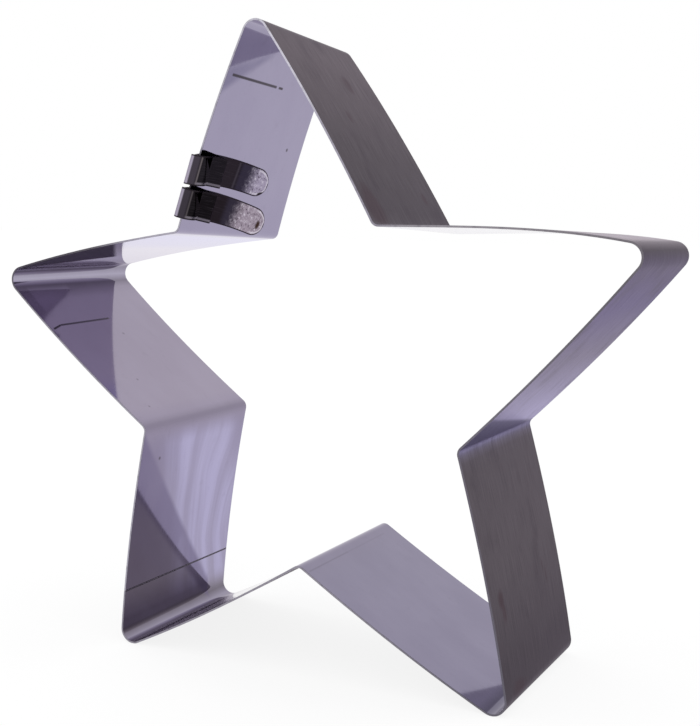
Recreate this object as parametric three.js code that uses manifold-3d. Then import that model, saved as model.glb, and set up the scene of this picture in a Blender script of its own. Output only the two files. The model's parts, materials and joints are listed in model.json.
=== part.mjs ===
// Star cake ring: a steel strip bent into a five-pointed star and closed, standing on its two
// lower points, with two spring clips pushed onto its front rim.
// Millimetres and degrees. +X is to the right, +Y runs through the ring from front to back, +Z is up.

import * as THREE from "three";
import { mergeVertices, toCreasedNormals } from "three/addons/utils/BufferGeometryUtils.js";
import Module from "manifold-3d";

const wasm = await Module();
wasm.setup();

// The star's corners, before the bends round them off
const pointReach = 93;
const valleyReach = 46;
const firstPointHeading = 90;
const pointSpacing = 72;

// How far each corner was bent out of true: mm away from the centre and degrees turned about it,
// then mm by which its front end is right of its back end and above it.
// Both lists start at the top of the star and go round by the left.
const pointStrays = [
  { place: "top", outward: -3.2, turned: 3.8, right: 2.7, up: 1.9 },
  { place: "upper left", outward: -1, turned: -1.2, right: 0, up: 0 },
  { place: "lower left", outward: -2.8, turned: -1.4, right: 0, up: 0 },
  { place: "lower right", outward: 3.7, turned: -1.2, right: 0, up: 0 },
  { place: "upper right", outward: 3.4, turned: 0.2, right: 0, up: 0 },
];
const valleyStrays = [
  { outward: 0.7, turned: 2.5, right: 0.4, up: 2.1 },
  { outward: -2.2, turned: -2.6, right: 0, up: 0 },
  { outward: -1.1, turned: 1.9, right: 0, up: 0 },
  { outward: 1.4, turned: -0.5, right: 0, up: 0 },
  { outward: -2.4, turned: 0, right: 0.6, up: 2.3 },
];
const feet = ["lower left", "lower right"];

// The strip
const stripWidth = 50;
const stripThickness = 0.5;
const pointBendRadius = 3.4;
const valleyBendRadius = 2;
const wallBow = 0.9;

// The clips: one bent strip each, a round loop in front and two sprung legs that pinch the wall
const clipWidth = 7.7;
const clipThickness = 0.5;
const loopRadius = 2.8;
const shoulderEnd = 7.2;
const shoulderLift = 1.1;
const stepRun = 0.7;
const stepRounding = 0.6;
const pinchEnd = 18;
const tipLift = 0.4;
const pinchRounding = 2.5;
const outerReach = 30;
const legSweepRadius = 150;

// Gap that touching pieces keep
const clearance = 0.3;

// Each clip's place: how far up the wall from the valley's bend, how far it leans towards that
// valley from square to the rim, and how deep its inner leg reaches in from the rim
const upperAlongWall = 15.1;
const upperLean = -0.8;
const upperReach = 34.9;
const lowerAlongWall = 5.8;
const lowerLean = 1;
const lowerReach = 38.8;

// How finely round stretches are divided
const bendSteps = 8;
const wallSteps = 8;
const loopSteps = 16;
const roundingSteps = 4;
const tipSteps = 16;
const sweepSteps = 8;

const steel = new THREE.MeshStandardMaterial({
  name: "polished steel sheet",
  color: 0x9f98ae,
  roughness: 0.22,
  metalness: 1,
});
const springSteel = new THREE.MeshStandardMaterial({
  name: "dark spring steel",
  color: 0x3d363d,
  roughness: 0.34,
  metalness: 1,
});

// A point in the star's plane, x to the right and y up
function polar(reach, heading) {
  const angle = THREE.MathUtils.degToRad(heading);
  return new THREE.Vector2(Math.cos(angle), Math.sin(angle)).multiplyScalar(reach);
}

// Where one corner lies at the back rim (front = 0) or the front rim (front = 1)
function strayed(reach, heading, stray, front) {
  const lean = new THREE.Vector2(stray.right, stray.up).multiplyScalar(front);
  return polar(reach + stray.outward, heading + stray.turned).add(lean);
}

// The ten corners in order, point then valley, going round by the left
function starCorners(front) {
  return pointStrays.flatMap((stray, index) => {
    const heading = firstPointHeading + pointSpacing * index;
    const valleyHeading = heading + pointSpacing / 2;
    const point = strayed(pointReach, heading, stray, front);
    const valley = strayed(valleyReach, valleyHeading, valleyStrays[index], front);
    return [
      { at: point, radius: pointBendRadius },
      { at: valley, radius: valleyBendRadius },
    ];
  });
}

// The direction in which a bowed wall leaves one corner for the next, on the star's outer side
// of the straight line between them
function leaving(from, to, turn) {
  const straight = to.clone().sub(from);
  const swing = Math.atan((4 * wallBow) / straight.length());
  return straight.normalize().rotateAround(new THREE.Vector2(), turn * swing);
}

// The round bend at a corner: its centre and its first and last point
function bendAt(corners, index) {
  const count = corners.length;
  const { at, radius } = corners[index];
  const back = leaving(at, corners[(index + count - 1) % count].at, 1);
  const onward = leaving(at, corners[(index + 1) % count].at, -1);
  const halfAngle = Math.acos(back.dot(onward)) / 2;
  const run = radius / Math.tan(halfAngle);
  const middle = back.clone().add(onward).normalize();
  return {
    centre: middle.multiplyScalar(radius / Math.sin(halfAngle)).add(at),
    start: back.clone().multiplyScalar(run).add(at),
    end: onward.clone().multiplyScalar(run).add(at),
    back,
    onward,
  };
}

// Points on the arc from a bend's start to its end, the short way round its centre
function bendPoints(bend) {
  const from = bend.start.clone().sub(bend.centre);
  const to = bend.end.clone().sub(bend.centre);
  const sweep = Math.atan2(from.cross(to), from.dot(to));
  return Array.from({ length: bendSteps + 1 }, (_, step) =>
    bend.start.clone().rotateAround(bend.centre, (sweep * step) / bendSteps),
  );
}

// A wall from one bend to the next, bowed outward and tangent to both bends
function wallCurve(bend, next) {
  const handle = bend.end.distanceTo(next.start) / 3;
  return new THREE.CubicBezierCurve(
    bend.end,
    bend.onward.clone().multiplyScalar(handle).add(bend.end),
    next.back.clone().multiplyScalar(handle).add(next.start),
    next.start,
  );
}

// A line of points moved sideways by a distance, to the right of its direction
function offsetPoints(points, distance, closed) {
  const last = points.length - 1;
  return points.map((point, index) => {
    const before = points[index > 0 ? index - 1 : closed ? last : 0];
    const after = points[index < last ? index + 1 : closed ? 0 : last];
    const arriving = point.clone().sub(before).normalize();
    const departing = after.clone().sub(point).normalize();
    const along = arriving.clone().add(departing).normalize();
    const kept = Math.max(along.dot(arriving), along.dot(departing));
    return new THREE.Vector2(along.y, -along.x).multiplyScalar(distance / kept).add(point);
  });
}

// A closed mesh as a solid that can be cut, and back again
function toSolid(geometry) {
  const bare = geometry.clone();
  bare.deleteAttribute("normal");
  bare.deleteAttribute("uv");
  const merged = mergeVertices(bare);
  const vertProperties = new Float32Array(merged.attributes.position.array);
  const triVerts = new Uint32Array(merged.index.array);
  return new wasm.Manifold(new wasm.Mesh({ numProp: 3, vertProperties, triVerts }));
}

function toGeometry(solid) {
  const { vertProperties, triVerts } = solid.getMesh();
  const geometry = new THREE.BufferGeometry();
  geometry.setAttribute("position", new THREE.BufferAttribute(vertProperties, 3));
  geometry.setIndex(new THREE.BufferAttribute(triVerts, 1));
  return toCreasedNormals(geometry);
}

// The star's outline along one rim: its bends, the walls between them, and points down the middle
// of the strip's thickness
function starOutline(front) {
  const corners = starCorners(front);
  const bends = corners.map((_, index) => bendAt(corners, index));
  const walls = bends.map((bend, index) => wallCurve(bend, bends[(index + 1) % bends.length]));
  const points = bends.flatMap((bend, index) => [
    ...bendPoints(bend),
    ...walls[index].getPoints(wallSteps).slice(1, -1),
  ]);
  return { bends, walls, points };
}

const frontOutline = starOutline(1);
const backOutline = starOutline(0);

// Star band: the strip between the outlines of its two rims, closed round its four edges
function starBand() {
  const edges = [
    { outline: frontOutline, side: 1, depth: 0 },
    { outline: backOutline, side: 1, depth: stripWidth },
    { outline: backOutline, side: -1, depth: stripWidth },
    { outline: frontOutline, side: -1, depth: 0 },
  ];
  const corners = edges.flatMap(({ outline, side, depth }) =>
    offsetPoints(outline.points, (side * stripThickness) / 2, true).map(
      (point) => new THREE.Vector3(point.x, depth, point.y),
    ),
  );
  const count = frontOutline.points.length;
  const triangles = edges.flatMap((_, edge) =>
    frontOutline.points.flatMap((__, index) => {
      const next = (index + 1) % count;
      const here = edge * count;
      const beside = ((edge + 1) % edges.length) * count;
      return [
        [here + index, beside + index, beside + next],
        [here + index, beside + next, here + next],
      ].flat();
    }),
  );
  const geometry = new THREE.BufferGeometry().setFromPoints(corners);
  geometry.setIndex(triangles);
  const band = new THREE.Mesh(toCreasedNormals(geometry), steel);
  band.name = "star_band";
  return band;
}

// A flat strip of some width, bent along a line of points in its own x and y
function bentStrip(points, width) {
  const side = offsetPoints(points, clipThickness / 2, false);
  const otherSide = offsetPoints(points, -clipThickness / 2, false).reverse();
  const shape = new THREE.Shape([...side, ...otherSide]);
  const geometry = new THREE.ExtrudeGeometry(shape, { depth: width, bevelEnabled: false });
  return geometry.translate(0, 0, -width / 2);
}

// Clip loop: half a turn in front of the rim, seated clear of it however far the clip leans
function clipLoop(loopCentre) {
  const points = Array.from({ length: loopSteps + 1 }, (_, step) =>
    polar(loopRadius, 270 - (180 * step) / loopSteps).add(loopCentre),
  );
  return new THREE.Mesh(bentStrip(points, clipWidth), springSteel);
}

// A leg's outline seen square to the wall: a strip that curves sideways to a round tip
function legPlan(length, sweepSide) {
  const half = clipWidth / 2;
  const centre = new THREE.Vector2(0, sweepSide * legSweepRadius);
  const turn = sweepSide * Math.asin((length - half) / legSweepRadius);
  const edge = (offset) =>
    Array.from({ length: sweepSteps + 1 }, (_, step) =>
      new THREE.Vector2(0, offset).rotateAround(centre, (turn * step) / sweepSteps),
    );
  const tip = Array.from({ length: tipSteps - 1 }, (_, step) =>
    polar(half, -90 + (180 * (step + 1)) / tipSteps).rotateAround(centre, turn),
  );
  return new THREE.Shape([...edge(-half), ...tip, ...edge(half).reverse()]);
}

// Clip leg, drawn from its root at the end of the loop: a raised shoulder, a steep step down to the
// wall, flat along it, then lifted a little towards its tip
function clipLeg(rootDepth, legReach, sweepSide) {
  const pinchHeight = (stripThickness + clipThickness) / 2 + clearance - loopRadius;
  const stations = [
    new THREE.Vector2(clearance, 0),
    new THREE.Vector2(shoulderEnd - rootDepth, shoulderLift),
    new THREE.Vector2(shoulderEnd + stepRun - rootDepth, pinchHeight),
    new THREE.Vector2(pinchEnd - rootDepth, pinchHeight),
    new THREE.Vector2(legReach - rootDepth, pinchHeight + tipLift),
  ];
  const roundings = [0, stepRounding, stepRounding, pinchRounding];
  const points = [stations[0]];
  for (let index = 1; index < stations.length - 1; index += 1) {
    const station = stations[index];
    const rounding = roundings[index];
    const before = stations[index - 1].clone().sub(station).setLength(rounding).add(station);
    const after = stations[index + 1].clone().sub(station).setLength(rounding).add(station);
    points.push(...new THREE.QuadraticBezierCurve(before, station, after).getPoints(roundingSteps));
  }
  points.push(stations[stations.length - 1]);

  const plan = new THREE.ExtrudeGeometry(legPlan(legReach - rootDepth, sweepSide), {
    depth: 4 * loopRadius,
    bevelEnabled: false,
  });
  plan.translate(0, 0, -2 * loopRadius);
  plan.rotateX(Math.PI / 2);

  const leg = toSolid(bentStrip(points, 4 * clipWidth)).intersect(toSolid(plan));
  return new THREE.Mesh(toGeometry(leg), springSteel);
}

// One clip in its own frame: x runs in from the rim, y away from the wall into the ring, and z
// down the wall to the valley
function springClip({ name, lean, innerReach }) {
  const clip = new THREE.Group();
  const seat = (clipWidth / 2) * Math.tan(Math.abs(THREE.MathUtils.degToRad(lean))) + clearance;
  const rootDepth = loopRadius - clipThickness / 2 - seat;

  const loop = clipLoop(new THREE.Vector2(rootDepth, 0));
  loop.name = `${name}_loop`;

  const innerLeg = clipLeg(rootDepth, innerReach, 1);
  innerLeg.name = `${name}_inner_leg`;
  innerLeg.position.set(rootDepth, loopRadius, 0);

  const outerLeg = clipLeg(rootDepth, outerReach, -1);
  outerLeg.name = `${name}_outer_leg`;
  outerLeg.position.set(rootDepth, -loopRadius, 0);
  outerLeg.rotation.x = Math.PI;

  clip.add(loop, innerLeg, outerLeg);
  return clip;
}

// A point on the wall between the top point and the valley to its left: mm up from the valley's
// bend, and mm in from the front rim
function onClipWall(up, depth) {
  const share = 1 - up / frontOutline.walls[0].getLength();
  const front = frontOutline.walls[0].getPointAt(share);
  const back = backOutline.walls[0].getPointAt(share);
  const at = front.lerp(back, depth / stripWidth);
  return new THREE.Vector3(at.x, depth, at.y);
}

// Puts a clip on the front rim of that wall, square to the wall where its legs pinch
function placeOnWall(clip, { alongWall, lean }) {
  const rim = onClipWall(alongWall, 0);
  const inFromRim = onClipWall(alongWall, pinchEnd).sub(rim);
  const above = onClipWall(alongWall + clipWidth / 2, pinchEnd);
  const downWall = onClipWall(alongWall - clipWidth / 2, pinchEnd).sub(above).normalize();
  const fromWall = downWall.clone().cross(inFromRim).normalize();
  const intoRing = fromWall.clone().cross(downWall);
  clip.quaternion.setFromRotationMatrix(new THREE.Matrix4().makeBasis(intoRing, fromWall, downWall));
  clip.position.copy(rim);
  clip.rotateY(-THREE.MathUtils.degToRad(lean));
}

const clips = [
  { name: "upper_clip", alongWall: upperAlongWall, lean: upperLean, innerReach: upperReach },
  { name: "lower_clip", alongWall: lowerAlongWall, lean: lowerLean, innerReach: lowerReach },
];
const ring = new THREE.Group();
ring.add(starBand());
for (const place of clips) {
  const clip = springClip(place);
  placeOnWall(clip, place);
  ring.add(clip);
}

// Both feet stand level, and the origin lies on the surface under the middle of the whole ring
const [leftFoot, rightFoot] = feet.map((foot) => {
  const index = pointStrays.findIndex(({ place }) => place === foot);
  return backOutline.bends[2 * index].centre;
});
const footLine = rightFoot.clone().sub(leftFoot);
ring.rotation.y = Math.atan2(footLine.y, footLine.x);
ring.updateMatrixWorld(true);
const reach = new THREE.Box3().setFromObject(ring, true);
const middle = reach.getCenter(new THREE.Vector3());
ring.position.set(-middle.x, -middle.y, -reach.min.z);
ring.updateMatrixWorld(true);

export default ring;
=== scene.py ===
import json
import math

import bmesh
import bpy
import numpy as np
from mathutils import Matrix, Vector
from mathutils.geometry import interpolate_bezier

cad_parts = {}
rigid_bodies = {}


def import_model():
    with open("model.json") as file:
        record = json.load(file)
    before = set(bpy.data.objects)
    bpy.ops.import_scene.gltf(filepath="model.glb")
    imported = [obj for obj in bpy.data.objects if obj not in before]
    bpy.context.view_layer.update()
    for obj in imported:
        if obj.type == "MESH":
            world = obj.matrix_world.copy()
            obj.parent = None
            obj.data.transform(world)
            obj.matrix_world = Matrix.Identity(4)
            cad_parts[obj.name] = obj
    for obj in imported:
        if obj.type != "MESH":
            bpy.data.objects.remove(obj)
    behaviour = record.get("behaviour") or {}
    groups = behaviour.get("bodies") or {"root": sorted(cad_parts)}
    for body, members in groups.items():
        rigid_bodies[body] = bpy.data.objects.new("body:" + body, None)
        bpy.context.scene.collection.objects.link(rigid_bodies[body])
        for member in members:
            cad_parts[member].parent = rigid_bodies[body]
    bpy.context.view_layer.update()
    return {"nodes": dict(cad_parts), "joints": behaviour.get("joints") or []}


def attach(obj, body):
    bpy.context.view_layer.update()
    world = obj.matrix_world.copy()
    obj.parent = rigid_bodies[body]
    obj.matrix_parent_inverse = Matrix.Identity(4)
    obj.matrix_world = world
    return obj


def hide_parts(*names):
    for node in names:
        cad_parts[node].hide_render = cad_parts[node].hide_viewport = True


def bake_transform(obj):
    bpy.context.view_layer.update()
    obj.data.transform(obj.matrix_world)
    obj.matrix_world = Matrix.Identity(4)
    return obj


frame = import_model()
mm = 0.001
print("frame loaded,", len(frame["nodes"]), "solids")


# node helpers, shared by the strip tree and the finishes
def addNode(tree, kind, settings=None, **inputs):
    made = tree.nodes.new(kind)
    for name, value in (settings or {}).items():
        setattr(made, name, value)
    for name, value in inputs.items():
        feed(tree, made, name.replace("_", " "), value)
    return made


def feed(tree, made, name, value):
    socket = made.inputs[name]
    if isinstance(value, bpy.types.NodeSocket):
        tree.links.new(value, socket)
    else:
        socket.default_value = value


def calc(tree, operation, *values, clamp=False):
    made = tree.nodes.new("ShaderNodeMath")
    made.operation = operation
    made.use_clamp = clamp
    for index, value in enumerate(values):
        feed(tree, made, index, value)
    return made.outputs[0]


def times(tree, product, *factors):
    for factor in factors:
        product = calc(tree, "MULTIPLY", product, factor)
    return product


def minus(tree, value, less):
    return calc(tree, "SUBTRACT", value, less)


stripBuild = {
    "edgeSteps": 2,
    # where a broad face starts, as a share of the way from the strip's middle to its surface
    "faceFrom": 0.98,
}


# the bent strip: a path lying flat is swept with a thin strip, then its two edges are steered
def makeStripTree():
    tree = bpy.data.node_groups.new("bentStrip", "GeometryNodeTree")
    face = tree.interface
    face.new_socket("Path", in_out="INPUT", socket_type="NodeSocketGeometry")
    for name in ("Strip width", "Strip thickness", "Edge rounding", "Crease angle"):
        face.new_socket(name, in_out="INPUT", socket_type="NodeSocketFloat")
    for name in ("Inner finish", "Outer finish", "Edge finish"):
        face.new_socket(name, in_out="INPUT", socket_type="NodeSocketMaterial")
    face.new_socket("Strip", in_out="OUTPUT", socket_type="NodeSocketGeometry")
    given = tree.nodes.new("NodeGroupInput").outputs
    done = tree.nodes.new("NodeGroupOutput")

    def store(geometry, name, value):
        settings = {"data_type": "FLOAT", "domain": "POINT"}
        made = addNode(tree, "GeometryNodeStoreNamedAttribute", settings, Geometry=geometry, Name=name)
        feed(tree, made, "Value", value)
        return made.outputs["Geometry"]

    def recall(name, kind):
        made = addNode(tree, "GeometryNodeInputNamedAttribute", {"data_type": kind}, Name=name)
        return made.outputs["Attribute"]

    # the path, with the length run so far and the length still to run
    path = addNode(tree, "GeometryNodeMeshToCurve", Mesh=given["Path"]).outputs[0]
    path = addNode(tree, "GeometryNodeSetCurveNormal", {"mode": "Z_UP"}, Curve=path).outputs[0]
    run = tree.nodes.new("GeometryNodeSplineParameter").outputs["Length"]
    whole = addNode(tree, "GeometryNodeCurveLength", Curve=path).outputs[0]
    path = store(store(path, "along", run), "rest", minus(tree, whole, run))

    # the strip's cross-section, with its place across the width and its side
    section = addNode(
        tree,
        "GeometryNodeCurvePrimitiveQuadrilateral",
        {"mode": "RECTANGLE"},
        Width=given["Strip thickness"],
        Height=given["Strip width"],
    ).outputs[0]
    fillet = addNode(tree, "GeometryNodeFilletCurve", {"mode": "POLY"}, Curve=section)
    feed(tree, fillet, "Count", stripBuild["edgeSteps"])
    feed(tree, fillet, "Radius", given["Edge rounding"])
    position = tree.nodes.new("GeometryNodeInputPosition").outputs[0]
    at = addNode(tree, "ShaderNodeSeparateXYZ", Vector=position).outputs
    side = calc(tree, "DIVIDE", at["X"], times(tree, given["Strip thickness"], 0.5))
    across = minus(tree, 0.5, calc(tree, "DIVIDE", at["Y"], given["Strip width"]))
    section = store(store(fillet.outputs[0], "side", side), "across", across)

    # a vector mix takes its factor at 0 and its two ends at 4 and 5, and gives its result at 1
    sweep = addNode(tree, "GeometryNodeCurveToMesh", Curve=path, Fill_Caps=True)
    feed(tree, sweep, "Profile Curve", section)
    steer = addNode(tree, "ShaderNodeMix", {"data_type": "VECTOR"})
    feed(tree, steer, 0, recall("across", "FLOAT"))
    feed(tree, steer, 4, recall("nearShift", "FLOAT_VECTOR"))
    feed(tree, steer, 5, recall("farShift", "FLOAT_VECTOR"))
    moved = addNode(tree, "GeometryNodeSetPosition", Geometry=sweep.outputs[0], Offset=steer.outputs[1])

    # smooth along the bends, crisp along the cut edges
    smooth = addNode(tree, "GeometryNodeSetShadeSmooth", {"domain": "FACE"}, Geometry=moved.outputs[0])
    angle = tree.nodes.new("GeometryNodeInputMeshEdgeAngle").outputs["Unsigned Angle"]
    crisp = addNode(tree, "GeometryNodeSetShadeSmooth", {"domain": "EDGE"}, Geometry=smooth.outputs[0])
    feed(tree, crisp, "Selection", calc(tree, "GREATER_THAN", angle, given["Crease angle"]))
    feed(tree, crisp, "Shade Smooth", False)

    real = addNode(tree, "GeometryNodeRealizeInstances", Geometry=crisp.outputs[0]).outputs[0]
    real = addNode(tree, "GeometryNodeSetMaterial", Geometry=real, Material=given["Edge finish"]).outputs[0]
    faceSide = recall("side", "FLOAT")
    faceFrom = stripBuild["faceFrom"]
    tests = {"Inner finish": ("LESS_THAN", -faceFrom), "Outer finish": ("GREATER_THAN", faceFrom)}
    for finish, (test, limit) in tests.items():
        coat = addNode(tree, "GeometryNodeSetMaterial", Geometry=real, Material=given[finish])
        feed(tree, coat, "Selection", calc(tree, test, faceSide, limit))
        real = coat.outputs[0]
    tree.links.new(real, done.inputs["Strip"])
    return tree


stripTree = makeStripTree()


# path lies flat, and nearEdge and farEdge are where the strip's two edges go, all in metres
def makeStrip(name, path, nearEdge, farEdge, sizes, finishes, place):
    half = Vector((0, 0, sizes["width"] * mm / 2))
    mesh = bpy.data.meshes.new(name)
    mesh.from_pydata(path, [(i, i + 1) for i in range(len(path) - 1)], [])
    for label, edge, rest in (("nearShift", nearEdge, -half), ("farShift", farEdge, half)):
        shift = mesh.attributes.new(label, "FLOAT_VECTOR", "POINT")
        for index, point in enumerate(edge):
            shift.data[index].vector = point - path[index] - rest
    room = mesh.attributes.new("room", "FLOAT", "POINT")
    for index, (near, far) in enumerate(zip(nearEdge, farEdge)):
        room.data[index].value = (far - near).length
    strip = bpy.data.objects.new(name, mesh)
    bpy.context.scene.collection.objects.link(strip)
    bend = strip.modifiers.new("bend", "NODES")
    bend.node_group = stripTree
    values = {
        "Strip width": sizes["width"] * mm,
        "Strip thickness": sizes["thickness"] * mm,
        "Edge rounding": sizes["rounding"] * mm,
        "Crease angle": math.radians(sizes["crease"]),
        "Inner finish": finishes[0],
        "Outer finish": finishes[1],
        "Edge finish": finishes[2],
    }
    for item in stripTree.interface.items_tree:
        if item.name in values:
            bend[item.identifier] = values[item.name]
    graph = bpy.context.evaluated_depsgraph_get()
    baked = bpy.data.meshes.new_from_object(strip.evaluated_get(graph), depsgraph=graph)
    strip.modifiers.remove(bend)
    strip.data = baked
    bpy.data.meshes.remove(mesh)
    baked.name = name
    baked.transform(place)
    shape = bmesh.new()
    shape.from_mesh(baked)
    turned = shape.calc_volume(signed=True) < 0
    shape.free()
    if turned:
        baked.flip_normals()
    for label in ("nearShift", "farShift"):
        baked.attributes.remove(baked.attributes[label])
    print("made", name, len(baked.polygons), "faces, turned:", turned)
    return strip


# star band: ten corners rounded by bends, with bowed walls between them (mm and degrees)
starBand = {
    "arms": 5,
    "pointReach": 93,
    "valleyReach": 46,
    "firstHeading": 90,
    # each corner: mm outward, degrees turned, then how far its front end lies
    # right of its back end and above it
    "points": [
        (-3.2, 3.8, 2.7, 1.9),
        (-1, -1.2, 0, 0),
        (-2.8, -1.4, 0, 0),
        (3.7, -1.2, 0, 0),
        (2.35, -0.24, 1.16, 0.74),
    ],
    "valleys": [
        (0.7, 2.5, 0.4, 2.1),
        (-2.2, -2.6, 0, 0),
        (-1.1, 1.9, 0, 0),
        (1.4, -0.5, 0, 0),
        (-2.4, 0, 0.6, 2.3),
    ],
    "pointBend": 3.4,
    "valleyBend": 2.0,
    "bow": 0.9,
    # corners whose next wall starts off turned farther outward, in degrees
    "fuller": {8: 3.4},
    "width": 50,
    "thickness": 0.5,
    "rounding": 0.08,
    "crease": 12,
    "pointSteps": 26,
    "valleySteps": 14,
    "wallSteps": 24,
    # the butt seam: which wall, how far along it, half the hairline between the strip's two ends,
    # and how near to it no other point of the wall lies, as shares of the wall
    "seamWall": 3,
    "seamShare": 0.811,
    "seamGap": 0.0012,
    "seamClear": 0.01,
    # the turn that sets both feet level, and where the star's middle then stands
    "levelTurn": -3.905619,
    "standsAt": (-0.376942, 0.467734, 73.191881),
}
armTurn = 360 / starBand["arms"]
cornerCount = 2 * starBand["arms"]


# points and valleys in turn, each with its bend's radius; front is 1 at the front rim and 0 at the back
def starCorners(front):
    def corner(reach, heading, stray):
        outward, turned, right, up = stray
        angle = math.radians(heading + turned)
        spot = Vector((math.cos(angle), math.sin(angle))) * (reach + outward)
        return spot + Vector((right, up)) * front

    made = []
    for arm in range(starBand["arms"]):
        heading = starBand["firstHeading"] + armTurn * arm
        point = corner(starBand["pointReach"], heading, starBand["points"][arm])
        valley = corner(starBand["valleyReach"], heading + armTurn / 2, starBand["valleys"][arm])
        made += [(point, starBand["pointBend"]), (valley, starBand["valleyBend"])]
    return made


# the direction in which a bowed wall leaves one corner for another
def leaving(here, there, turn):
    straight = there - here
    swing = math.atan(4 * starBand["bow"] / straight.length)
    return Matrix.Rotation(turn * swing, 2) @ straight.normalized()


def starBends(front):
    corners = starCorners(front)
    bends = []
    for index, (at, radius) in enumerate(corners):
        back = leaving(at, corners[index - 1][0], 1)
        onward = leaving(at, corners[(index + 1) % cornerCount][0], -1)
        fuller = math.radians(starBand["fuller"].get(index, 0))
        onward = Matrix.Rotation(-fuller, 2) @ onward
        halfAngle = math.acos(back.dot(onward)) / 2
        run = radius / math.tan(halfAngle)
        bend = {"back": back, "onward": onward, "start": at + back * run, "end": at + onward * run}
        bend["centre"] = at + (back + onward).normalized() * (radius / math.sin(halfAngle))
        bends.append(bend)
    return bends


def bendPoints(bend, steps):
    first, last = bend["start"] - bend["centre"], bend["end"] - bend["centre"]
    sweep = math.atan2(first.x * last.y - first.y * last.x, first.dot(last))
    return [bend["centre"] + Matrix.Rotation(sweep * step / steps, 2) @ first for step in range(steps + 1)]


def wallPoint(bend, following, share):
    start, end = bend["end"], following["start"]
    handle = (end - start).length / 3
    startHandle = start + bend["onward"] * handle
    endHandle = end + following["back"] * handle
    rest = 1 - share
    return (
        start * rest**3
        + startHandle * (3 * share * rest**2)
        + endHandle * (3 * share**2 * rest)
        + end * share**3
    )


# one rim's outline, from one side of the seam round to the other, each point with its wall and share
def rimPoints(front):
    bends = starBends(front)
    first = starBand["seamWall"]
    shares = [step / starBand["wallSteps"] for step in range(1, starBand["wallSteps"])]
    seam, gap, clear = starBand["seamShare"], starBand["seamGap"], starBand["seamClear"]
    afterSeam = [seam + gap] + [share for share in shares if share > seam + clear]
    beforeSeam = [share for share in shares if share < seam - clear] + [seam - gap]

    def wallPoints(index, wallShares):
        bend, following = bends[index], bends[(index + 1) % cornerCount]
        return [(wallPoint(bend, following, share), (index, share)) for share in wallShares]

    points = wallPoints(first, afterSeam)
    for turn in range(1, cornerCount + 1):
        index = (first + turn) % cornerCount
        steps = starBand["pointSteps"] if index % 2 == 0 else starBand["valleySteps"]
        stations = [((index - 1) % cornerCount, 1.0)] + [None] * (steps - 1) + [(index, 0.0)]
        points += list(zip(bendPoints(bends[index], steps), stations))
        points += wallPoints(index, beforeSeam if index == first else shares)
    return points


# the points of the band's path that lie on a wall, each with its wall, its share and the length run to it
def pathStations():
    front, back = rimPoints(1), rimPoints(0)
    path = [(ahead[0] + behind[0]) / 2 for ahead, behind in zip(front, back)]
    run = 0.0
    stations = []
    for index, point in enumerate(path):
        if index:
            run += (point - path[index - 1]).length
        if front[index][1] is not None:
            stations.append((*front[index][1], run))
    return stations, run


stripStations, stripLength = pathStations()
print("band outline made,", round(stripLength, 2), "mm round")


# where a share of a wall lies, in mm along the strip from its seam; shares from 1 to 2 lie in the next bend
def runAt(wall, share):
    if share > 1:
        end, onward = runAt(wall, 1.0), runAt((wall + 1) % cornerCount, 0.0)
        return end + (onward - end) * (share - 1)
    known = sorted((at, run) for index, at, run in stripStations if index == wall)
    return float(np.interp(share, [at for at, run in known], [run for at, run in known]))


# finishes
def newFinish(name, specularTint):
    finish = bpy.data.materials.new(name)
    finish.use_nodes = True
    tree = finish.node_tree
    shader = tree.nodes["Principled BSDF"]
    shader.inputs["Metallic"].default_value = 1.0
    shader.inputs["Specular Tint"].default_value = specularTint
    return finish, tree, shader


def readValue(tree, name):
    return addNode(tree, "ShaderNodeAttribute", {"attribute_name": name}).outputs["Fac"]


# a strip's own coordinates in mm: along it, and across it from its far edge
def readStrip(tree, width):
    along = times(tree, readValue(tree, "along"), 1 / mm)
    return along, times(tree, minus(tree, 1.0, readValue(tree, "across")), width)


# noise in strip coordinates: scale along and across in 1/mm, detail, roughness, seed
def stripNoise(tree, along, across, noise):
    scaleAlong, scaleAcross, detail, rough, seed = noise
    spot = addNode(tree, "ShaderNodeCombineXYZ", Z=seed)
    feed(tree, spot, "X", times(tree, along, scaleAlong))
    feed(tree, spot, "Y", times(tree, across, scaleAcross))
    made = addNode(tree, "ShaderNodeTexNoise", Vector=spot.outputs[0], Scale=1.0, Detail=detail)
    feed(tree, made, "Roughness", rough)
    return made.outputs[0]


# a colour mix takes its factor at 0 and its two colours at 6 and 7, and gives its result at 2
def tint(tree, factor, first, second):
    made = addNode(tree, "ShaderNodeMix", {"data_type": "RGBA"})
    feed(tree, made, 0, factor)
    feed(tree, made, 6, first)
    feed(tree, made, 7, second)
    return made.outputs[2]


# a value's way from low to high, turned into a soft change from start to end
def ease(tree, value, low, high, start=0.0, end=1.0):
    made = addNode(tree, "ShaderNodeMapRange", {"interpolation_type": "SMOOTHSTEP"}, Value=value)
    for name, number in (("From Min", low), ("From Max", high), ("To Min", start), ("To Max", end)):
        feed(tree, made, name, number)
    return made.outputs[0]


# 1 inside a range of a value, with soft ends
def within(tree, value, low, high, soft):
    up = ease(tree, value, low - soft, low + soft)
    down = ease(tree, value, high - soft, high + soft, 1.0, 0.0)
    return times(tree, up, down)


markShape = {
    "rag": 1.2,
    # the part of a patch that has its full strength
    "core": 0.35,
    # where a line's side starts to fade and is gone, in its breadths, and its soft ends in mm
    "lineFade": (0.25, 0.75),
    "lineEnd": 0.3,
}


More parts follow.
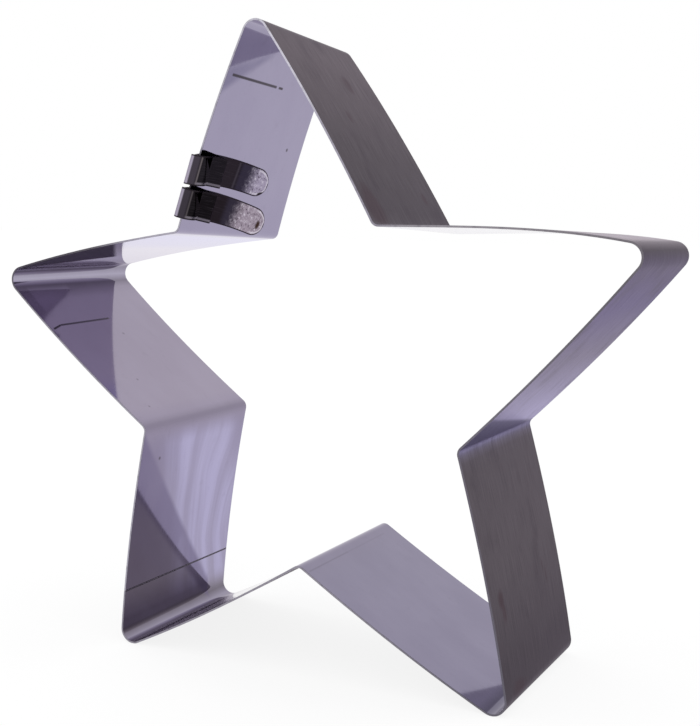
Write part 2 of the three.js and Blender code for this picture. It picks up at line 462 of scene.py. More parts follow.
# 1 in the middle of an oval patch, fading to its rim; a noise as rag roughens the rim
def patch(tree, along, across, at, size, rag=None):
    first = calc(tree, "DIVIDE", minus(tree, along, at[0]), size[0])
    second = calc(tree, "DIVIDE", minus(tree, across, at[1]), size[1])
    squares = calc(tree, "ADD", times(tree, first, first), times(tree, second, second))
    away = calc(tree, "SQRT", squares)
    if rag is not None:
        away = calc(tree, "ADD", away, times(tree, minus(tree, rag, 0.5), markShape["rag"]))
    return ease(tree, away, markShape["core"], 1.0, 1.0, 0.0)


# 1 on a thin line that runs across the strip, from one spot to another
def scratch(tree, along, across, first, last, breadth):
    slope = (last[0] - first[0]) / (last[1] - first[1])
    line = calc(tree, "MULTIPLY_ADD", minus(tree, across, first[1]), slope, first[0])
    off = calc(tree, "ABSOLUTE", minus(tree, along, line))
    fadeFrom, fadeTo = [breadth * share for share in markShape["lineFade"]]
    thin = ease(tree, off, fadeFrom, fadeTo, 1.0, 0.0)
    return times(tree, thin, within(tree, across, first[1], last[1], markShape["lineEnd"]))


# colours that change from wall to wall along the strip
def wallTones(tree, along, tonesAndLight):
    ramp = tree.nodes.new("ShaderNodeValToRGB")
    stops = ramp.color_ramp.elements
    stops.remove(stops[1])
    placed = sorted((runAt(wall, share) / stripLength, colour) for wall, share, colour in tonesAndLight)
    stops[0].position, stops[0].color = placed[0][0], (*placed[0][1], 1)
    for position, colour in placed[1:]:
        stops.new(position).color = (*colour, 1)
    feed(tree, ramp, "Fac", calc(tree, "DIVIDE", along, stripLength))
    return ramp.outputs["Color"]


# in all looks, a tint is: noise from and to, then strength from and to; roughness is given the same way
insideLook = {
    "specularTint": (0.99, 0.97, 1.0, 1),
    "roughness": (0.2, 0.8, 0.04, 0.09),
    "noises": {
        "bow": (0.03, 0.025, 1, 0.5, 11.0),
        "streak": (0.012, 0.19, 3, 0.5, 8.0),
        "cloud": (0.035, 0.06, 4, 0.55, 0.0),
        "dull": (0.25, 0.3, 5, 0.65, 5.0),
        "polish": (0.05, 2.2, 2, 0.6, 4.0),
    },
    # mm past the seam that are laid on behind the strip's other end
    "seamReach": 20.0,
    # walls are measured up to this share, which lies before the seam
    "measuredShare": 0.8,
    # wall, share along it, colour; a ramp holds 32 of them at most; the colours hold the steel's tone with
    # painted reflections and painted shade at the bends
    "tonesAndLight": [
        (0, 0.1, (0.3, 0.272, 0.385)),
        (0, 0.9, (0.31, 0.28, 0.398)),
        (0, 1.0, (0.31, 0.28, 0.4)),
        (1, 0.0, (0.32, 0.295, 0.42)),
        (1, 0.07, (0.34, 0.32, 0.64)),
        (1, 0.36, (0.36, 0.33, 0.58)),
        (1, 0.5, (0.46, 0.42, 0.55)),
        (1, 0.98, (0.41, 0.37, 0.49)),
        (1, 1.2, (0.13, 0.112, 0.15)),
        (1, 1.45, (0.4, 0.37, 0.48)),
        (1, 1.6, (0.4, 0.37, 0.48)),
        (1, 1.85, (0.12, 0.103, 0.14)),
        (2, 0.01, (0.26, 0.226, 0.3)),
        (2, 0.1, (0.3, 0.262, 0.345)),
        (2, 0.9, (0.315, 0.275, 0.36)),
        (3, 0.1, (0.24, 0.207, 0.312)),
        (3, 0.7, (0.25, 0.217, 0.318)),
        (3, 0.95, (0.25, 0.22, 0.3)),
        (3, 1.15, (0.17, 0.148, 0.185)),
        (3, 1.38, (0.1, 0.087, 0.112)),
        (3, 1.55, (0.3, 0.272, 0.36)),
        (4, 0.03, (0.19, 0.168, 0.2)),
        (4, 0.15, (0.36, 0.335, 0.34)),
        (4, 0.45, (0.36, 0.335, 0.345)),
        (4, 0.9, (0.24, 0.215, 0.29)),
        (5, 0.1, (0.235, 0.215, 0.3)),
        (5, 0.96, (0.226, 0.206, 0.296)),
        (5, 1.0, (0.13, 0.12, 0.175)),
        (6, 0.0, (0.12, 0.11, 0.165)),
        (6, 0.1, (0.16, 0.146, 0.225)),
        (7, 0.5, (0.28, 0.258, 0.35)),
        (9, 0.9, (0.28, 0.255, 0.36)),
    ],
    # painted sheen: paler lengthwise streaks of painted reflection on the lower left wall, away from its
    # front rim
    # shares and depths: from, to and softness; bow and lean: mm of depth
    "sheenStreaks": {
        "wall": 3,
        "shares": (0.05, 0.95, 0.06),
        "depths": (12.5, 46, 9),
        "bow": 14.0,
        "lean": -14,
        "lines": (0.32, 0.66, 0.42, 1.0),
        "colour": (0.4, 0.37, 0.56, 1),
    },
    "cloudTint": (0.3, 0.75, 0.0, 0.1),
    "cloudColour": (0.5, 0.47, 0.6, 1),
    "dullTint": (0.55, 0.85, 0.0, 0.14),
    # patches of painted reflection and painted shade: wall, then for both borders the share at the front
    # rim and its change per mm,
    # depths, colour and strength
    "reflectionPatches": [
        (0, (0.192, -0.007), (0.312, -0.013), (-1, 20.2), (0.168, 0.15, 0.252, 1), 0.8),
        (2, (0.015, 0), (0.205, -0.0085), (4, 21), (0.42, 0.375, 0.485, 1), 0.8),
        (3, (0.01, 0.0228), (0.315, 0.0178), (-1, 41), (0.15, 0.124, 0.226, 1), 0.76),
        (3, (-0.05, 0), (0.0, 0), (-1, 60), (0.15, 0.13, 0.17, 1), 0.4),
    ],
    "patchSoft": {"share": 0.03, "depth": 0.5},
    "patchTint": (0.3, 0.55, 0.7, 1.0),
    # the front part of the left arm's upper wall, darkened by painted shade, fading out between two depths
    "paintedShade": {
        "wall": 1,
        "borders": ((0.36, 0.0151), (1.005, -0.0102)),
        "softShare": 0.02,
        "fade": (28, 36),
        "colour": (0.27, 0.228, 0.345, 1),
    },
    "markColour": (0.07, 0.06, 0.078, 1),
    "markRoughness": 0.25,
    "seamBreadth": 0.2,
    # scratches across the strip: wall, share and mm from the front rim of both ends, breadth, strength
    "scratches": [
        (0, (0.2205, 2.5), (0.2205, 25.4), 0.66, 1.0),
        (0, (0.2205, 26.6), (0.2205, 28.8), 0.62, 1.0),
        (2, (0.297, 1.2), (0.276, 5.0), 0.62, 0.95),
        (2, (0.276, 5.0), (0.265, 26.6), 0.62, 0.95),
        (5, (0.03, 1), (0.03, 22), 0.45, 0.2),
        (5, (0.03, 22), (0.03, 44), 0.45, 0.09),
    ],
    # specks: wall, share, mm from the front rim, size, strength
    "specks": [
        (0, 0.529, 41.7, 0.7, 0.8),
        (2, 0.384, 26.9, 0.6, 0.35),
        (2, 0.711, 14.8, 0.55, 0.4),
        (2, 0.8985, 9.1, 0.5, 0.4),
        (3, 0.154, 8.5, 0.65, 0.7),
    ],
}


def polishedInside(look):
    finish, tree, shader = newFinish("polishedInside", look["specularTint"])
    along, depth = readStrip(tree, starBand["width"])
    noises = look["noises"]

    # the run, with the seam's short end laid on behind the strip's other end
    early = calc(tree, "LESS_THAN", along, look["seamReach"])
    onward = calc(tree, "MULTIPLY_ADD", early, stripLength, along)

    # how far along a wall a point lies, from 0 at its start to 1 at its end
    def shareOf(wall):
        measured = look["measuredShare"]
        first, later = runAt(wall, 0.0), runAt(wall, measured)
        return times(tree, minus(tree, onward, first), measured / (later - first))

    # 1 past a slanted border on a wall
    def past(share, border, soft):
        line = calc(tree, "MULTIPLY_ADD", depth, border[1], border[0])
        return ease(tree, minus(tree, share, line), -soft, soft)

    # the walls' tones with painted reflections and painted shade, the painted sheen streaks, and clouds
    colour = wallTones(tree, along, look["tonesAndLight"])
    sheenStreaks = look["sheenStreaks"]
    bow = stripNoise(tree, onward, depth, noises["bow"])
    bowed = calc(tree, "MULTIPLY_ADD", bow, sheenStreaks["bow"], depth)
    lines = stripNoise(tree, onward, bowed, noises["streak"])
    share = shareOf(sheenStreaks["wall"])
    leaning = calc(tree, "MULTIPLY_ADD", share, sheenStreaks["lean"], depth)
    glow = times(tree, within(tree, share, *sheenStreaks["shares"]), within(tree, leaning, *sheenStreaks["depths"]))
    glow = times(tree, glow, ease(tree, lines, *sheenStreaks["lines"]))
    colour = tint(tree, glow, colour, sheenStreaks["colour"])
    cloud = stripNoise(tree, along, depth, noises["cloud"])
    colour = tint(tree, ease(tree, cloud, *look["cloudTint"]), colour, look["cloudColour"])
    dull = stripNoise(tree, along, depth, noises["dull"])
    colour = tint(tree, ease(tree, dull, *look["dullTint"]), colour, look["markColour"])

    # patches of painted reflection and painted shade, with ragged borders
    soft = look["patchSoft"]
    for wall, start, end, depths, shade, strength in look["reflectionPatches"]:
        share = shareOf(wall)
        started, ended = past(share, start, soft["share"]), past(share, end, soft["share"])
        zone = calc(tree, "SUBTRACT", started, ended, clamp=True)
        zone = times(tree, zone, within(tree, depth, *depths, soft["depth"]))
        zone = times(tree, zone, ease(tree, cloud, *look["patchTint"]), strength)
        colour = tint(tree, zone, colour, shade)

    # the painted shade is matt, so it takes the metal away
    paintedShade = look["paintedShade"]
    share = shareOf(paintedShade["wall"])
    started, ended = [past(share, border, paintedShade["softShare"]) for border in paintedShade["borders"]]
    paintedShadeMask = calc(tree, "SUBTRACT", started, ended, clamp=True)
    paintedShadeMask = times(tree, paintedShadeMask, ease(tree, depth, *paintedShade["fade"], 1.0, 0.0))
    colour = tint(tree, paintedShadeMask, colour, paintedShade["colour"])
    feed(tree, shader, "Metallic", minus(tree, 1.0, paintedShadeMask))
    shader.inputs["Specular IOR Level"].default_value = 0.0

    # marks darken the steel and dull it
    firstEnd = calc(tree, "LESS_THAN", along, look["seamBreadth"])
    lastEnd = calc(tree, "GREATER_THAN", along, stripLength - look["seamBreadth"])
    marks = calc(tree, "MAXIMUM", firstEnd, lastEnd)
    for wall, *ends, breadth, strength in look["scratches"]:
        first, last = [(runAt(wall, share), at) for share, at in ends]
        line = scratch(tree, along, depth, first, last, breadth)
        marks = calc(tree, "MAXIMUM", marks, times(tree, line, strength))
    for wall, share, at, size, strength in look["specks"]:
        speck = patch(tree, along, depth, (runAt(wall, share), at), (size, size))
        marks = calc(tree, "MAXIMUM", marks, times(tree, speck, strength))
    feed(tree, shader, "Base Color", tint(tree, marks, colour, look["markColour"]))
    polish = stripNoise(tree, along, depth, noises["polish"])
    polished = ease(tree, polish, *look["roughness"])
    feed(tree, shader, "Roughness", calc(tree, "MULTIPLY_ADD", marks, look["markRoughness"], polished))
    return finish


outsideLook = {
    "specularTint": (0.72, 0.675, 0.745, 1),
    "roughness": (0.3, 0.7, 0.34, 0.46),
    "noises": {
        "grain": (0.1, 4.5, 4, 0.65, 0.0),
        "cloud": (0.07, 0.1, 4, 0.55, 7.0),
    },
    # the outer faces' dark tone, with a painted lavender reflection on the right arm's lower wall, a
    # painted dark band at its point and a painted pale highlight past it
    "tonesAndLight": [
        (9, 0.05, (0.078, 0.071, 0.075)),
        (9, 0.35, (0.086, 0.078, 0.08)),
        (9, 0.9, (0.135, 0.117, 0.122)),
        (0, 0.5, (0.09, 0.08, 0.086)),
        (5, 0.8, (0.06, 0.052, 0.058)),
        (6, 0.1, (0.06, 0.052, 0.058)),
        (6, 0.5, (0.1, 0.088, 0.095)),
        (6, 0.95, (0.105, 0.093, 0.102)),
        (6, 1.0, (0.12, 0.107, 0.13)),
        (7, 0.0, (0.45, 0.42, 0.66)),
        (7, 0.03, (0.5, 0.47, 0.74)),
        (7, 0.15, (0.49, 0.455, 0.7)),
        (7, 0.5, (0.26, 0.23, 0.35)),
        (7, 0.8, (0.15, 0.12, 0.29)),
        (7, 0.93, (0.13, 0.104, 0.23)),
        (7, 1.0, (0.11, 0.088, 0.18)),
        (7, 1.5, (0.012, 0.01, 0.013)),
        (8, 0.0, (0.26, 0.228, 0.248)),
        (8, 0.03, (0.46, 0.41, 0.44)),
        (8, 0.08, (0.56, 0.51, 0.55)),
        (8, 0.4, (0.34, 0.305, 0.33)),
    ],
    # the shaded corner of the right arm: its border's share at the front rim and change per mm,
    # the border's softness and the run in which the shade comes up, both in mm
    "corner": {
        "wall": 7,
        "border": 0.18,
        "change": -0.0036,
        "soft": 0.8,
        "lead": 3,
        "colour": (0.195, 0.184, 0.33, 1),
    },
    "darker": (0.035, 0.028, 0.034, 1),
    "grainTint": (0.4, 0.75, 0.0, 0.4),
    "cloudTint": (0.5, 0.8, 0.0, 0.45),
    # smudges: wall, share, mm from the front rim, size along and across, strength
    "smudges": [
        (6, 0.384, 6.4, (3.2, 2.4), 0.7),
        (6, 0.4, 37, (2.6, 0.5), 0.6),
        (6, 0.35, 38.5, (3.0, 0.45), 0.6),
        (6, 0.33, 7.2, (3.4, 1.8), 0.55),
        (6, 0.0, 10, (3, 6), 0.5),
        (9, 0.77, 32, (3.2, 2.6), 0.5),
        (9, 0.56, 20, (2.6, 1.6), 0.45),
        (9, 0.15, 41, (2.4, 2.0), 0.5),
        (9, 0.08, 5, (7, 6), 0.55),
    ],
    "smudgeColour": (0.05, 0.028, 0.03, 1),
}


def brushedOutside(look):
    finish, tree, shader = newFinish("brushedOutside", look["specularTint"])
    along, depth = readStrip(tree, starBand["width"])
    grain = stripNoise(tree, along, depth, look["noises"]["grain"])
    cloud = stripNoise(tree, along, depth, look["noises"]["cloud"])
    colour = wallTones(tree, along, look["tonesAndLight"])

    corner = look["corner"]
    start = runAt(corner["wall"], 0.0)
    span = runAt(corner["wall"], 1.0) - start
    line = calc(tree, "MULTIPLY_ADD", depth, corner["change"] * span, start + corner["border"] * span)
    shaded = ease(tree, minus(tree, along, line), -corner["soft"], corner["soft"], 1.0, 0.0)
    shaded = times(tree, shaded, ease(tree, along, start - corner["lead"], start))
    colour = tint(tree, shaded, colour, corner["colour"])

    colour = tint(tree, ease(tree, grain, *look["grainTint"]), colour, look["darker"])
    colour = tint(tree, ease(tree, cloud, *look["cloudTint"]), colour, look["darker"])
    for wall, share, at, size, strength in look["smudges"]:
        smudge = patch(tree, along, depth, (runAt(wall, share), at), size, cloud)
        colour = tint(tree, times(tree, smudge, strength), colour, look["smudgeColour"])
    feed(tree, shader, "Base Color", colour)
    feed(tree, shader, "Roughness", ease(tree, grain, *look["roughness"]))
    return finish


edgeLook = {
    "specularTint": (0.9, 0.87, 0.95, 1),
    "roughness": (0.3, 0.7, 0.22, 0.34),
    "nicks": (0.5, 1.0, 4, 0.6, 2.0),
    # the cut edge's tone, with painted highlights where the rims catch light and painted shade where they
    # run as dark lines
    "tonesAndLight": [
        (9, 0.0, (0.3, 0.28, 0.34)),
        (9, 0.5, (0.4, 0.38, 0.45)),
        (9, 0.62, (0.6, 0.58, 0.66)),
        (9, 0.95, (0.64, 0.62, 0.7)),
        (0, 0.1, (0.45, 0.43, 0.5)),
        (0, 0.58, (0.42, 0.4, 0.47)),
        (0, 0.64, (0.03, 0.026, 0.032)),
        (0, 0.9, (0.03, 0.026, 0.032)),
        (0, 0.95, (0.42, 0.4, 0.47)),
        (1, 0.25, (0.4, 0.38, 0.45)),
        (1, 0.5, (0.12, 0.11, 0.13)),
        (1, 0.95, (0.07, 0.06, 0.08)),
        (2, 0.2, (0.3, 0.28, 0.33)),
        (3, 0.5, (0.42, 0.4, 0.47)),
        (5, 0.1, (0.3, 0.28, 0.33)),
        (5, 0.9, (0.16, 0.15, 0.18)),
        (6, 0.1, (0.13, 0.12, 0.15)),
        (6, 0.9, (0.15, 0.135, 0.165)),
        (7, 0.1, (0.17, 0.157, 0.195)),
        (7, 0.9, (0.14, 0.128, 0.15)),
        (8, 0.1, (0.2, 0.183, 0.205)),
        (8, 0.6, (0.3, 0.28, 0.31)),
        (8, 0.9, (0.3, 0.28, 0.31)),
    ],
    "darker": (0.12, 0.11, 0.135, 1),
    "nickTint": (0.45, 0.8, 0.0, 0.6),
}


def cutEdge(look):
    finish, tree, shader = newFinish("cutEdge", look["specularTint"])
    along, depth = readStrip(tree, starBand["width"])
    nicks = stripNoise(tree, along, depth, look["nicks"])
    colour = wallTones(tree, along, look["tonesAndLight"])
    nicked = tint(tree, ease(tree, nicks, *look["nickTint"]), colour, look["darker"])
    feed(tree, shader, "Base Color", nicked)
    feed(tree, shader, "Roughness", ease(tree, nicks, *look["roughness"]))
    return finish


insideFinish = polishedInside(insideLook)
outsideFinish = brushedOutside(outsideLook)
edgeFinish = cutEdge(edgeLook)
print("band finishes made")


def makeStarBand():
    front, back = [[point for point, station in rimPoints(end)] for end in (1, 0)]
    half = starBand["width"] / 2
    path, nearEdge, farEdge = [], [], []
    for ahead, behind in zip(front, back):
        path.append(Vector(((ahead.x + behind.x) / 2, (ahead.y + behind.y) / 2, 0)) * mm)
        nearEdge.append(Vector((behind.x, behind.y, -half)) * mm)
        farEdge.append(Vector((ahead.x, ahead.y, half)) * mm)
    level = Matrix.Rotation(math.radians(starBand["levelTurn"]), 4, "Y")
    stand = level @ Matrix.Rotation(math.pi / 2, 4, "X")
    place = Matrix.Translation(Vector(starBand["standsAt"]) * mm) @ stand
    finishes = (insideFinish, outsideFinish, edgeFinish)
    band = makeStrip("starBand", path, nearEdge, farEdge, starBand, finishes, place)
    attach(band, "ring")
    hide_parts("star_band")
    return band


makeStarBand()

# spring clips: one bent strip each, a loop in front of the rim and two legs that pinch the wall (mm)
springClip = {
    "width": 7.7,
    "thickness": 0.5,
    "rounding": 0.1,
    "crease": 12,
    "loopRadius": 2.8,
    "leadIn": 1.2,
    "shoulderEnd": 7.2,
    "shoulderLift": 1.1,
    "stepRun": 0.7,
    "pinchEnd": 18,
    "pinchHeight": 0.8,
    "tipLift": 0.4,
    # how softly each bend of a leg is rounded, from its root on
    "roundings": (0.2, 0.6, 0.5, 2.5),
    "tipLength": 5.8,
    # degrees round the tip at which it is closed by a short straight end
    "tipTurn": 86,
    "sweepRadius": 150,
    "askewRun": 26,
    "outerReach": 30,
    "loopSteps": 36,
    "bendSteps": 10,
    "legStep": 0.1,
    "tipSteps": 14,
}
clipPlaces = {
    # askew: how far the outer and the inner leg's root lie down the wall from the middle
    "upper_clip": {"innerReach": 34.9, "rootDepth": 2.1962, "askew": (0.75, -0.8)},
    "lower_clip": {"innerReach": 38.8, "rootDepth": 2.1828, "askew": (-0.1, -1.0)},
}

# looks of the clips, in mm along the strip from its start
# bands of tone, which hold the blued steel's dark tone with painted reflections, highlights and shade:
# from, to, softness, colour; spots: place, size, colour
clipLooks = {
    "upper": {
        "paintedBands": [
            (-2, 3.7, 0.3, (0.44, 0.4, 0.5, 1)),
            (3.7, 5.5, 0.4, (0.062, 0.052, 0.068, 1)),
            (5.7, 6.0, 0.16, (0.15, 0.13, 0.14, 1)),
            (6.2, 16.6, 0.3, (0.0185, 0.0158, 0.0205, 1)),
            (18.4, 27, 1.6, (0.026, 0.0215, 0.027, 1)),
            (27.2, 28, 0.6, (0.06, 0.052, 0.068, 1)),
            (28.8, 37, 1.2, (0.036, 0.031, 0.052, 1)),
        ],
        "wearAndSheen": (0.42, 0.37, 0.5, 1),
        "wearAndSheenFrom": 36.2,
        "wearAndSheenSlant": 0.12,
        "spots": [((41.8, 0.6), (1.9, 0.7), (0.03, 0.024, 0.03, 1))],
    },
    "lower": {
        "paintedBands": [
            (-2, 3.7, 0.3, (0.42, 0.38, 0.48, 1)),
            (3.7, 5.5, 0.4, (0.05, 0.042, 0.055, 1)),
            (5.7, 6.0, 0.16, (0.09, 0.078, 0.085, 1)),
            (6.2, 16.6, 0.3, (0.0105, 0.0088, 0.0105, 1)),
            (18.4, 27, 1.6, (0.019, 0.0155, 0.018, 1)),
            (27, 33.6, 1.6, (0.036, 0.031, 0.048, 1)),
        ],
        "wearAndSheen": (0.41, 0.345, 0.42, 1),
        "wearAndSheenFrom": 33.6,
        "wearAndSheenSlant": 0.15,
        "spots": [
            ((45.2, 3.3), (1.3, 1.9), (0.06, 0.035, 0.028, 1)),
            ((19.6, 1.6), (0.35, 0.4), (0.6, 0.55, 0.62, 1)),
        ],
    },
    "outer": {
        "paintedBands": [(8, 15, 1.0, (0.022, 0.018, 0.023, 1))],
        "wearAndSheen": (0.36, 0.32, 0.42, 1),
        "wearAndSheenFrom": 22,
        "wearAndSheenSlant": 0.5,
        "spots": [],
    },
}

# what all blued spring strips share
springLook = {
    "specularTint": (0.5, 0.475, 0.51, 1),
    # wear from and to, then roughness from and to
    "roughness": (0.0, 1.0, 0.36, 0.42),
    "noises": {
        "grain": (0.2, 2.8, 4, 0.6, 0.0),
        "mottle": (0.8, 0.8, 6, 0.78, 3.0),
        "lines": (0.12, 4.5, 3, 0.6, 6.0),
    },
    "blued": (0.0125, 0.0105, 0.014, 1),
    "brushed": (0.024, 0.0195, 0.024, 1),
    "grainTint": (0.4, 0.75, 0.0, 1.0),
    # fine brush lines, which come up along a short run
    "lines": (0.055, 0.047, 0.058, 1),
    "linesTint": (0.5, 0.72, 0.0, 0.55),
    "linesFrom": (5.5, 7.5),
    # the painted highlight line beside one edge: along the strip and in from the edge, from, to and
    # softness
    "edgeHighlight": (0.19, 0.17, 0.205, 1),
    "edgeHighlightRun": (5.8, 15, 0.5),
    "edgeHighlightInset": (0.35, 0.9, 0.15),
    # the tip, pale from wear and from painted reflection: how far its border wanders, and where it starts
    # and is full around the look's given start
    "wearAndSheenRag": 8.0,
    "wearAndSheenSpread": (-4.2, 3.4),
    "pitted": (0.11, 0.09, 0.125, 1),
    "pitTint": (0.34, 0.49, 1.0, 0.0),
    "highlight": (0.8, 0.76, 0.85, 1),
    "highlightTint": (0.53, 0.64, 0.0, 0.9),
    # the painted highlight line round the tip, which comes up along the last mm, and the painted shadow
    # edge outside it
    "rimHighlightInset": (0.5, 0.9, 0.18),
    "rimHighlightFrom": (7.5, 4.5),
    "rimHighlightStrength": 0.75,
    "edgeShadow": (0.22, 0.42),
}


def bluedSpring(name, look):
    spring, noises = springLook, springLook["noises"]
    finish, tree, shader = newFinish(name, spring["specularTint"])
    width = springClip["width"]
    along, across = readStrip(tree, width)
    grain = stripNoise(tree, along, across, noises["grain"])
    mottle = stripNoise(tree, along, across, noises["mottle"])
    colour = tint(tree, ease(tree, grain, *spring["grainTint"]), spring["blued"], spring["brushed"])
    # painted reflections, highlights and shade in bands along the strip
    for first, last, soft, shade in look["paintedBands"]:
        colour = tint(tree, within(tree, along, first, last, soft), colour, shade)
    lines = ease(tree, stripNoise(tree, along, across, noises["lines"]), *spring["linesTint"])
    lines = times(tree, lines, ease(tree, along, *spring["linesFrom"]))
    colour = tint(tree, lines, colour, spring["lines"])

    # mm in from the nearest edge, with the round tip counted as edge
    share = readValue(tree, "across")
    rest = times(tree, readValue(tree, "rest"), 1 / mm)
    inward = calc(tree, "MINIMUM", share, minus(tree, 1.0, share))
    inward = times(tree, inward, readValue(tree, "room"), 1 / mm)
    inward = calc(tree, "MINIMUM", inward, rest)
    # a painted highlight line beside one edge
    edgeHighlight = within(tree, along, *spring["edgeHighlightRun"])
    edgeHighlight = times(tree, edgeHighlight, within(tree, inward, *spring["edgeHighlightInset"]))
    edgeHighlight = times(tree, edgeHighlight, calc(tree, "LESS_THAN", across, width / 2))
    colour = tint(tree, edgeHighlight, colour, spring["edgeHighlight"])

    # the tip, pale from wear and from painted reflection, and pitted, with a painted highlight line inside
    # its painted shadow edge
    wearAndSheenLine = calc(tree, "MULTIPLY_ADD", minus(tree, across, width / 2), -look["wearAndSheenSlant"], along)
    wearAndSheenLine = calc(tree, "MULTIPLY_ADD", minus(tree, mottle, 0.5), spring["wearAndSheenRag"], wearAndSheenLine)
    wearAndSheen = ease(tree, wearAndSheenLine, *[look["wearAndSheenFrom"] + spread for spread in spring["wearAndSheenSpread"]])
    steel = tint(tree, ease(tree, mottle, *spring["pitTint"]), look["wearAndSheen"], spring["pitted"])
    # painted highlights mottled over the pale tip
    steel = tint(tree, ease(tree, mottle, *spring["highlightTint"]), steel, spring["highlight"])
    colour = tint(tree, wearAndSheen, colour, steel)
    rimHighlight = within(tree, inward, *spring["rimHighlightInset"])
    rimHighlight = times(tree, rimHighlight, ease(tree, rest, *spring["rimHighlightFrom"]), spring["rimHighlightStrength"])
    colour = tint(tree, rimHighlight, colour, spring["highlight"])
    # a painted shadow line along the strip's edges and round its tip
    colour = tint(tree, ease(tree, inward, *spring["edgeShadow"], 1.0, 0.0), colour, spring["brushed"])
    for at, size, shade in look["spots"]:
        colour = tint(tree, patch(tree, along, across, at, size, mottle), colour, shade)
    feed(tree, shader, "Base Color", colour)
    feed(tree, shader, "Roughness", ease(tree, wearAndSheen, *spring["roughness"]))
    return finish


clipFinishes = {part: bluedSpring(part + "Spring", look) for part, look in clipLooks.items()}
print("clip finishes made")


# a leg's height above the middle of the wall, at each depth from its root
def legProfile(reach, rootDepth):
    shape = springClip
    high, low = shape["loopRadius"], shape["pinchHeight"]
    corners = [
        Vector((-shape["leadIn"], high)),
        Vector((0, high)),
        Vector((shape["shoulderEnd"] - rootDepth, high + shape["shoulderLift"])),
        Vector((shape["shoulderEnd"] + shape["stepRun"] - rootDepth, low)),
        Vector((shape["pinchEnd"] - rootDepth, low)),
        Vector((reach - rootDepth, low + shape["tipLift"])),
    ]
    points = [corners[0]]
    for before, here, after, rounding in zip(corners, corners[1:], corners[2:], shape["roundings"]):
        start = here + (before - here).normalized() * rounding
        end = here + (after - here).normalized() * rounding
        handles = here.lerp(start, 1 / 3), here.lerp(end, 1 / 3)
        points += interpolate_bezier(start, *handles, end, shape["bendSteps"])
    points.append(corners[-1])
    return [point[0] for point in points], [point[1] for point in points]


# a leg's path and two edges, from its root to its round tip; side is 1 inside the ring and -1 outside
def legEdges(reach, rootDepth, side, askew):
    shape = springClip
    half, radius = shape["width"] / 2, shape["sweepRadius"]
    depths, heights = legProfile(reach, rootDepth)
    straight = reach - rootDepth - shape["tipLength"]
    turn = math.asin(straight / radius)
    count = round(straight / shape["legStep"])

    # each row: its middle, how far it is turned, and half its width
    rows = []
    for step in range(count + 1):
        angle = turn * step / count
        rows.append((radius * math.sin(angle), radius * (1 - math.cos(angle)), angle, half))
    tipX, tipZ = rows[-1][:2]
    for step in range(1, shape["tipSteps"] + 1):
        lean = math.radians(shape["tipTurn"] * step / shape["tipSteps"])
        run = shape["tipLength"] * math.sin(lean)
        rows.append((tipX + run * math.cos(turn), tipZ + run * math.sin(turn), turn, half * math.cos(lean)))

    def spot(x, z):
        settled = min(1.0, max(0.0, x / shape["askewRun"]))
        return Vector((x, side * float(np.interp(x, depths, heights)), z + askew * (1 - settled) ** 2)) * mm

    path = [spot(x, 0) for x, z, angle, wide in rows]
    near = [spot(x + wide * math.sin(angle), z - wide * math.cos(angle)) for x, z, angle, wide in rows]
    far = [spot(x - wide * math.sin(angle), z + wide * math.cos(angle)) for x, z, angle, wide in rows]
    return path, near, far


# the loop's path and two edges, half a round from the outer leg's root to the inner one's
def loopEdges(askew):
    shape = springClip
    half = Vector((0, 0, shape["width"] / 2)) * mm
    path, middle = [], []
    for step in range(shape["loopSteps"]):
        share = step / shape["loopSteps"]
        angle = math.radians(270 - 180 * share)
        path.append(Vector((math.cos(angle), math.sin(angle), 0)) * shape["loopRadius"] * mm)
        middle.append(path[-1] + Vector((0, 0, askew[0] + (askew[1] - askew[0]) * share)) * mm)
    return path, [point - half for point in middle], [point + half for point in middle]


# the clip's own frame, from its two hinges: x into the ring, y away from the wall, z down the wall
def clipFrame(clip):
    hinges = {joint["child"]: joint for joint in frame["joints"] if joint["parent"] == clip}
    inner, outer = hinges[clip + "_inner_leg"], hinges[clip + "_outer_leg"]
    first, second = Vector(inner["pos_m"]), Vector(outer["pos_m"])
    down = Vector(inner["axis"]).normalized()
    away = (first - second).normalized()
    away = (away - down * away.dot(down)).normalized()
    turn = Matrix((away.cross(down), away, down)).transposed().to_4x4()
    return Matrix.Translation((first + second) / 2) @ turn


def makeClip(clip, name):
    place = clipFrame(clip)
    sizes = clipPlaces[clip]
    outerAskew, innerAskew = sizes["askew"]
    loop = loopEdges(sizes["askew"])
    leg = legEdges(sizes["innerReach"], sizes["rootDepth"], 1, innerAskew)
    loopAndLeg = [first + second for first, second in zip(loop, leg)]
    finishes = [clipFinishes[clip.split("_")[0]]] * 3
    innerHalf = makeStrip(name + "LoopAndInnerLeg", *loopAndLeg, springClip, finishes, place)
    leg = legEdges(springClip["outerReach"], sizes["rootDepth"], -1, outerAskew)
    outerHalf = makeStrip(name + "OuterLeg", *leg, springClip, [clipFinishes["outer"]] * 3, place)

    # a place in the clip's own frame, in mm
    def spot(x, y):
        return place @ (Vector((x, y, 0)) * mm)

    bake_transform(innerHalf)
    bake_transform(outerHalf)
    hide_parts(clip + "_loop", clip + "_inner_leg")
    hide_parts(clip + "_outer_leg")


makeClip("upper_clip", "upperClip")
makeClip("lower_clip", "lowerClip")

# camera, in mm; the clipping distances in metres
viewpoint = {
    "at": (152.716, -291.788, 116.294),
    "right": (0.891671, 0.452458, 0.014270),
    "up": (-0.067229, 0.101186, 0.992593),
    "lens": 62.987,
    "sensor": 36,
    "nearest": 0.01,
    "farthest": 20,
}


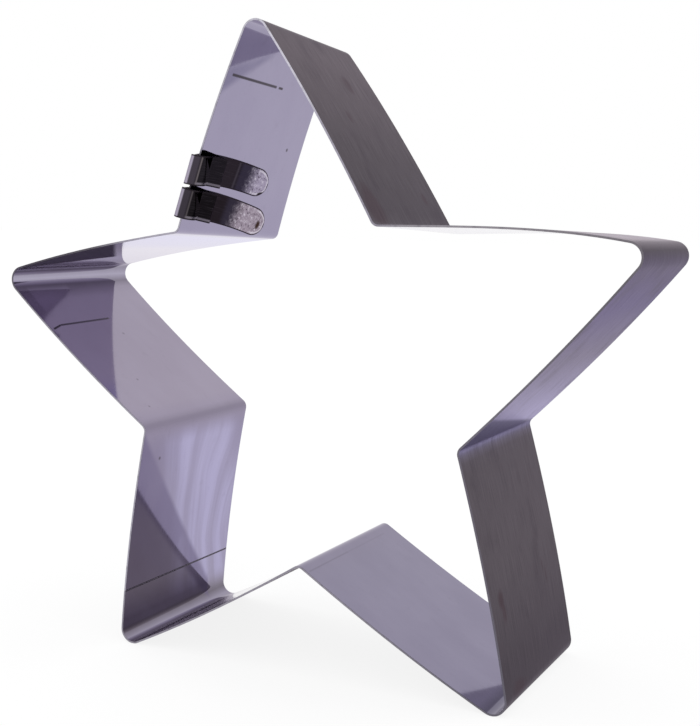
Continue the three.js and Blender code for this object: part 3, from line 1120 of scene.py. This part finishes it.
def makeCamera():
    data = bpy.data.cameras.new("photoCamera")
    data.lens = viewpoint["lens"]
    data.sensor_width = viewpoint["sensor"]
    data.clip_start = viewpoint["nearest"]
    data.clip_end = viewpoint["farthest"]
    camera = bpy.data.objects.new("photoCamera", data)
    right = Vector(viewpoint["right"]).normalized()
    up = Vector(viewpoint["up"])
    up = (up - right * up.dot(right)).normalized()
    turn = Matrix((right, up, right.cross(up))).transposed().to_4x4()
    camera.matrix_world = Matrix.Translation(Vector(viewpoint["at"]) * mm) @ turn
    bpy.context.scene.collection.objects.link(camera)
    bpy.context.scene.camera = camera


# white surroundings and a white table that keeps a soft shadow (metres)
studio = {
    "worldColour": (1, 1, 1, 1),
    "world": 1.0,
    "tableColour": (0.16, 0.16, 0.16, 1),
    "tableGlow": 0.86,
    "tableHalf": 4.0,
}


def makeWorld():
    world = bpy.data.worlds.new("studio")
    world.use_nodes = True
    background = world.node_tree.nodes["Background"]
    background.inputs["Color"].default_value = studio["worldColour"]
    background.inputs["Strength"].default_value = studio["world"]
    bpy.context.scene.world = world


def whiteTable():
    finish = bpy.data.materials.new("whiteTable")
    finish.use_nodes = True
    tree = finish.node_tree
    tree.nodes.remove(tree.nodes["Principled BSDF"])
    lightPath = tree.nodes.new("ShaderNodeLightPath").outputs
    seen = calc(tree, "MAXIMUM", lightPath["Is Camera Ray"], lightPath["Is Glossy Ray"])
    seen = calc(tree, "MAXIMUM", seen, lightPath["Is Transmission Ray"])
    strength = times(tree, seen, studio["tableGlow"])
    glow = addNode(tree, "ShaderNodeEmission", Color=studio["worldColour"], Strength=strength)
    matt = addNode(tree, "ShaderNodeBsdfDiffuse", Color=studio["tableColour"])
    both = tree.nodes.new("ShaderNodeAddShader")
    tree.links.new(glow.outputs[0], both.inputs[0])
    tree.links.new(matt.outputs[0], both.inputs[1])
    tree.links.new(both.outputs[0], tree.nodes["Material Output"].inputs["Surface"])
    return finish


def makeTable():
    half = studio["tableHalf"]
    corners = [(-half, -half, 0), (half, -half, 0), (half, half, 0), (-half, half, 0)]
    mesh = bpy.data.meshes.new("table")
    mesh.from_pydata(corners, [], [(0, 1, 2, 3)])
    mesh.materials.append(whiteTable())
    table = bpy.data.objects.new("table", mesh)
    bpy.context.scene.collection.objects.link(table)


makeCamera()
makeWorld()
makeTable()
bpy.context.scene.view_settings.view_transform = "Standard"
print("camera, table and light set")
